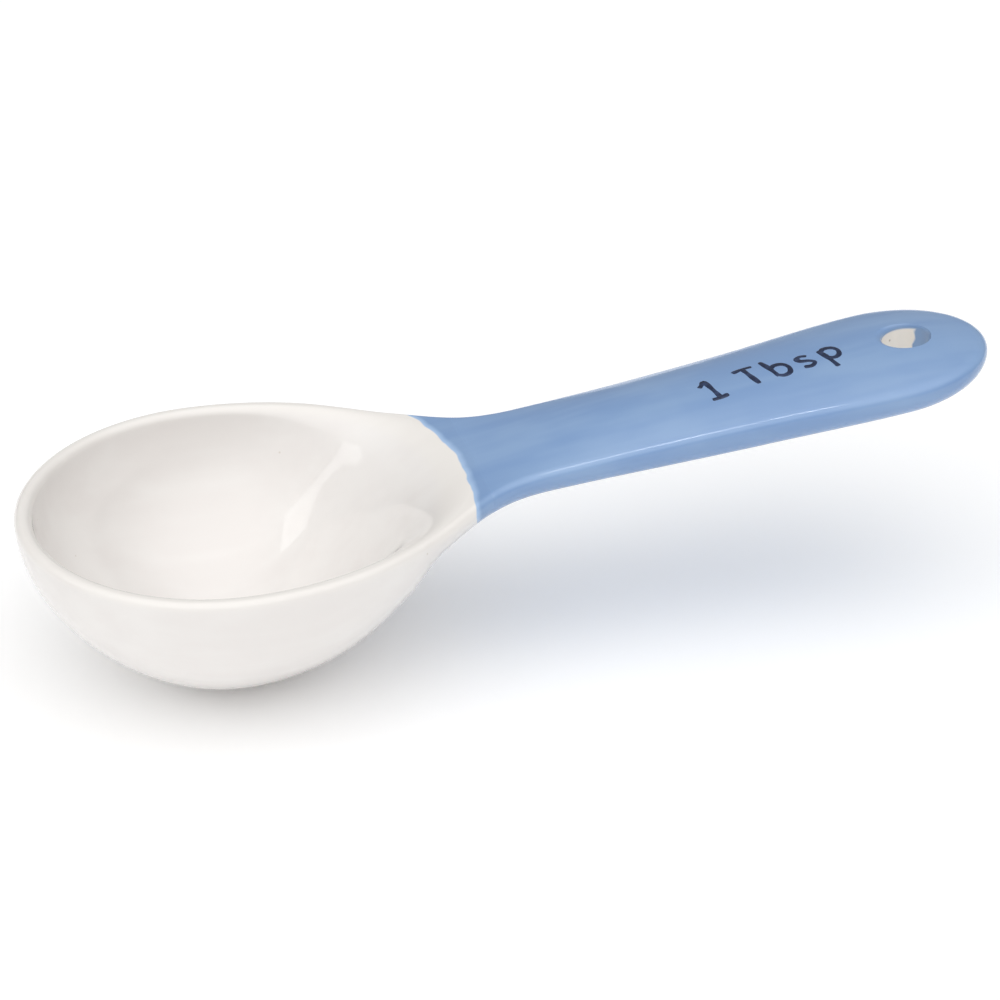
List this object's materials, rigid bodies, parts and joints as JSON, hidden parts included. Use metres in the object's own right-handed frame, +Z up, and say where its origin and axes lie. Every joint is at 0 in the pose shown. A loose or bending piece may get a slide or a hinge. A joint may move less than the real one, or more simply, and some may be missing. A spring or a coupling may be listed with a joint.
{
  "type": "measuring spoon",
  "caption": "Ceramic one-tablespoon measuring spoon: a deep round bowl with a flat bare foot and a short tapered handle with a hanging hole at its end.",
  "frame": {"origin": "middle of the flat foot under the bowl", "axes": "+X from the bowl along the handle, +Z up out of the bowl, Y across it"},
  "size_m": [0.1093, 0.0438, 0.0293],
  "materials": {
    "bare_clay": "fired, bare, matt and slightly gritty",
    "white_glaze": "warm white, glossy, softly uneven",
    "blue_glaze": "light cornflower blue, glossy, softly uneven"
  },
  "bodies": {
    "root": {"clay_body": "bare_clay", "white_bowl_glaze": "white_glaze", "blue_handle_glaze": "blue_glaze"}
  },
  "joints": []
}
